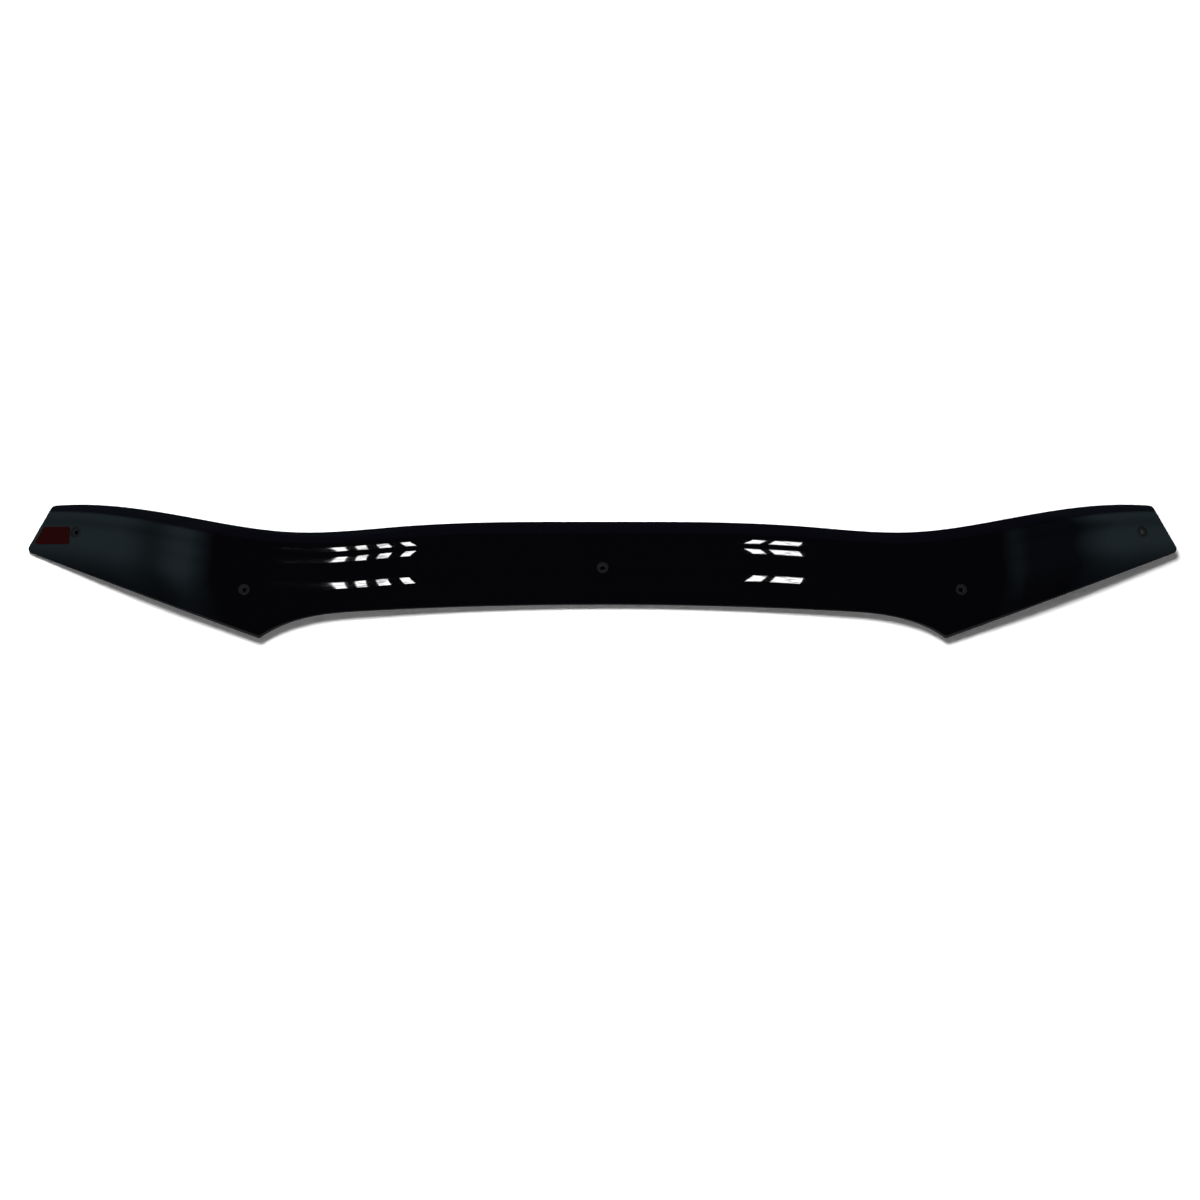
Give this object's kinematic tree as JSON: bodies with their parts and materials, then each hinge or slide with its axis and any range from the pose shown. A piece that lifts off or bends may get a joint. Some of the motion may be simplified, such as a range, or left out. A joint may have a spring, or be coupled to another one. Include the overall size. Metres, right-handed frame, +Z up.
{
  "type": "hood bug deflector",
  "caption": "Wide smoked acrylic wind and insect shield for the front edge of a car hood, formed to an ogee section with swept, winged ends and drilled fixing holes.",
  "frame": {"origin": "in the centre fixing hole, on its axis and half way along its wall", "axes": "+X across the vehicle, along the width of the deflector; +Y backwards, away from the air stream; +Z up"},
  "size_m": [1.4516, 0.1585, 0.1679],
  "materials": {
    "smoked_acrylic": "polished smoked black acrylic sheet with sawn and softly rounded edges",
    "red_label": "plain dark red vinyl film, semi-gloss"
  },
  "bodies": {
    "root": {"shield": "smoked_acrylic", "label": "red_label"}
  },
  "joints": []
}
